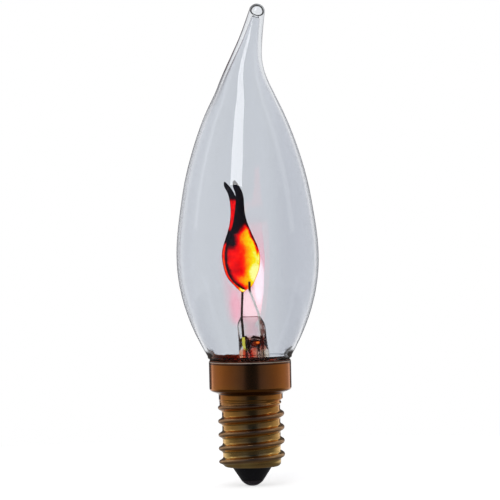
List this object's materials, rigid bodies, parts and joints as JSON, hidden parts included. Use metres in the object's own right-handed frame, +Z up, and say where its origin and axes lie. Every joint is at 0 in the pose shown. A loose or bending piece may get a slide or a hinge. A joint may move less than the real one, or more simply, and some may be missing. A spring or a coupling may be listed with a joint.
{
  "type": "flicker flame bulb",
  "caption": "Candle-shaped glow lamp with a bent glass tip, flame-shaped plates that glow inside clear glass, and a brass screw cap with a skirt.",
  "frame": {"origin": "lowest point of the solder on the centre contact, on the bulb's axis", "axes": "+Z up the bulb's axis from the cap to the tip, -Y out of the front flame plate's face, +X to the right seen from the front, the way the tip bends"},
  "size_m": [0.0295, 0.0294, 0.1],
  "materials": {
    "clear_glass": "clear blown glass, smooth",
    "stem_glass": "clear drawn glass with a faint green-yellow tint",
    "flame_metal": "thin stamped sheet, darkened by use, glowing when lit",
    "lead_nickel": "drawn nickel wire",
    "seal_metal": "red-brown wire sealed in glass",
    "copper_wire": "bare copper wire, slightly oxidised",
    "resistor_lacquer": "glossy lacquer",
    "cap_brass": "rolled brass sheet, polished and slightly toned",
    "basing_cement": "cured red-brown cement, dull",
    "black_glass": "black pressed glass, glossy",
    "contact_metal": "tinned contact plate, dull grey",
    "solder": "tin solder, soft sheen"
  },
  "bodies": {
    "root": {"glass_envelope": "clear_glass", "stem_tube": "stem_glass", "exhaust_tube": "stem_glass", "flame_plate_front": "flame_metal", "flame_plate_back": "flame_metal", "inner_lead_left": "lead_nickel", "inner_lead_right": "lead_nickel", "seal_wire_left": "seal_metal", "seal_wire_right": "seal_metal", "outer_lead_left": "copper_wire", "outer_lead_right": "copper_wire", "resistor_lead_upper": "copper_wire", "resistor_lead_lower": "copper_wire", "ballast_resistor": "resistor_lacquer", "cap_shell": "cap_brass", "basing_cement": "basing_cement", "cap_insulator": "black_glass", "centre_contact": "contact_metal", "centre_solder": "solder", "side_solder": "solder"}
  },
  "joints": []
}
